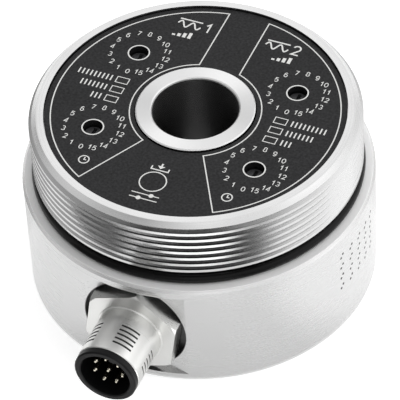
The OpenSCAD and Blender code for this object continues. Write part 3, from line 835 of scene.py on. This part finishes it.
# brightness of the room by height, from the horizon to overhead
ROOM_UP = ((0.0, 0.55), (0.3, 0.75), (0.5, 1.0), (0.7, 1.1), (0.85, 1.0), (1.0, 0.9))
# and from the camera's left to its right: brightest over the camera's own upright plane, so that faced rings
# shine in front and behind and dim aside, with a window on the right
ROOM_ACROSS = ((0.0, 1.0), (0.075, 0.65), (0.175, 0.28), (0.325, 0.5), (0.44, 1.0), (0.56, 1.0), (0.675, 0.66),
               (0.8, 0.85), (0.925, 1.3))
# dark gap overhead between the soft boxes: its direction in parts of side, front and up, the cosines of the
# angles where it starts and is full, and what light is left in it
GAP_SIDE = -0.1
GAP_FRONT = 0.2
GAP_UP = 0.97
GAP_COSINES = (0.8, 0.96)
GAP_LEFT = 0.01


def light_room(sky, side, front):
    """A room whose brightness goes by height and by side, so that level, sloped and upright metal each get
    their own tone, with a dark gap overhead that draws the thread's lines."""
    world = bpy.data.worlds.new("studio")
    world.use_nodes = True
    tree = world.node_tree
    tree.nodes.clear()
    ray = node(tree, "ShaderNodeTexCoord").outputs["Generated"]
    up = node(tree, "ShaderNodeSeparateXYZ", {0: ray}).outputs["Z"]
    aside = node(tree, "ShaderNodeVectorMath", {0: ray, 1: tuple(side)},
                 operation="DOT_PRODUCT").outputs["Value"]
    across = node(tree, "ShaderNodeMapRange", {"Value": aside, "From Min": -1.0, "From Max": 1.0}).outputs[0]
    tones = []
    for measure, stops in ((up, ROOM_UP), (across, ROOM_ACROSS)):
        ramp = node(tree, "ShaderNodeValToRGB", {"Fac": measure})
        for k, (at, level) in enumerate(stops):
            stop = ramp.color_ramp.elements[k] if k < 2 else ramp.color_ramp.elements.new(at)
            stop.position = at
            stop.color = (level, level, level, 1)
        tones.append(ramp.outputs["Color"])
    gain = node(tree, "ShaderNodeMath", {0: tones[1], 1: sky}, operation="MULTIPLY").outputs[0]
    gap = (GAP_SIDE * side + GAP_FRONT * front + Vector((0, 0, GAP_UP))).normalized()
    near = node(tree, "ShaderNodeVectorMath", {0: ray, 1: tuple(gap)}, operation="DOT_PRODUCT").outputs["Value"]
    left = node(tree, "ShaderNodeMapRange", {"Value": near, "From Min": GAP_COSINES[0],
                                             "From Max": GAP_COSINES[1], "To Min": 1.0, "To Max": GAP_LEFT},
                interpolation_type="SMOOTHSTEP").outputs[0]
    power = node(tree, "ShaderNodeMath", {0: gain, 1: left}, operation="MULTIPLY").outputs[0]
    room = node(tree, "ShaderNodeBackground", {"Color": tones[0], "Strength": power})
    node(tree, "ShaderNodeOutputWorld", {"Surface": room.outputs[0]})
    return world


# soft boxes, which bright metal doesn't mirror: name, place, aim and side in metres, power in watts
SOFT_BOXES = (("box_over", (0.1, 0.1, 1.2), (0, 0, 0), 1.2, 6.0),
              ("box_right", (0.9, 0.1, 0.35), (0, 0, 0.02), 0.5, 2.0))


def hang_boxes():
    """Hangs the soft boxes, each turned to its aim."""
    for name, place, aim, size, power in SOFT_BOXES:
        light = bpy.data.lights.new(name, "AREA")
        light.shape, light.size, light.energy = "SQUARE", size, power
        lamp = bpy.data.objects.new(name, light)
        lamp.location = place
        lamp.rotation_euler = (Vector(aim) - Vector(place)).to_track_quat("-Z", "Y").to_euler()
        lamp.visible_glossy = False
        bpy.context.collection.objects.link(lamp)


# width of the camera's sensor, in mm
SENSOR_WIDTH = 36


def aim_camera(studio, front):
    """A camera on the ray front cos e + up sin e from the aim, for the elevation e, level and then rolled."""
    back = math.cos(studio.elevation) * front + Vector((0, 0, math.sin(studio.elevation)))
    level = Vector((0, 0, 1)).cross(back).normalized()
    right = math.cos(studio.roll) * level + math.sin(studio.roll) * back.cross(level)
    view = Matrix((right, back.cross(right), back)).transposed().to_4x4()
    view.translation = Vector(studio.aim) + studio.distance * back
    lens = bpy.data.cameras.new("camera")
    lens.lens, lens.sensor_width, lens.sensor_fit = studio.lens, SENSOR_WIDTH, "HORIZONTAL"
    lens.clip_start, lens.clip_end = 0.01, 20
    camera = bpy.data.objects.new("camera", lens)
    camera.matrix_world = view
    bpy.context.collection.objects.link(camera)
    return camera


class SENSOR_OT_studio(Operator):
    """Set the floor, the light and the camera"""
    bl_idname = "sensor.studio"
    bl_label = "Studio"

    def execute(self, context):
        scene, studio = context.scene, context.scene.sensor_studio
        scene.view_settings.view_transform = "Standard"
        # the camera's right hand, and the level way from the part towards the camera
        side = Vector((math.cos(studio.azimuth), math.sin(studio.azimuth), 0))
        front = Vector((math.sin(studio.azimuth), -math.cos(studio.azimuth), 0))
        lay_floor(side, front)
        scene.world = light_room(studio.sky, side, front)
        hang_boxes()
        scene.camera = aim_camera(studio, front)
        return {"FINISHED"}


OPERATORS = (SENSOR_OT_housing, SENSOR_OT_side_dots, SENSOR_OT_seals, SENSOR_OT_panel, SENSOR_OT_frames,
             SENSOR_OT_dials, SENSOR_OT_marks, SENSOR_OT_plug, SENSOR_OT_inside, SENSOR_OT_studio)


class SENSOR_PT_dressing(Panel):
    """Lists the steps in order, with the sizes and colours above them"""
    bl_idname = "SENSOR_PT_dressing"
    bl_label = "Sensor"
    bl_space_type = "VIEW_3D"
    bl_region_type = "UI"
    bl_category = "Sensor"

    def draw(self, context):
        for name, kind in GROUPS:
            box = self.layout.box()
            for size in kind.__annotations__:
                box.prop(getattr(context.scene, name), size)
        for step in OPERATORS:
            self.layout.operator(step.bl_idname)


GROUPS = (("sensor_sizes", SensorSizes), ("sensor_colours", SensorColours), ("sensor_studio", SensorStudio))


def register():
    """Adds the classes and puts the sizes and colours on the scene."""
    for name, group in GROUPS:
        bpy.utils.register_class(group)
        setattr(bpy.types.Scene, name, PointerProperty(type=group))
    for step in (*OPERATORS, SENSOR_PT_dressing):
        bpy.utils.register_class(step)


def unregister():
    """Takes away what register added."""
    for step in (SENSOR_PT_dressing, *reversed(OPERATORS)):
        bpy.utils.unregister_class(step)
    for name, group in reversed(GROUPS):
        delattr(bpy.types.Scene, name)
        bpy.utils.unregister_class(group)


def main():
    """Runs the steps in order."""
    register()
    for step in OPERATORS:
        kind, name = step.bl_idname.split(".")
        getattr(getattr(bpy.ops, kind), name)()


if __name__ == "__main__":
    main()
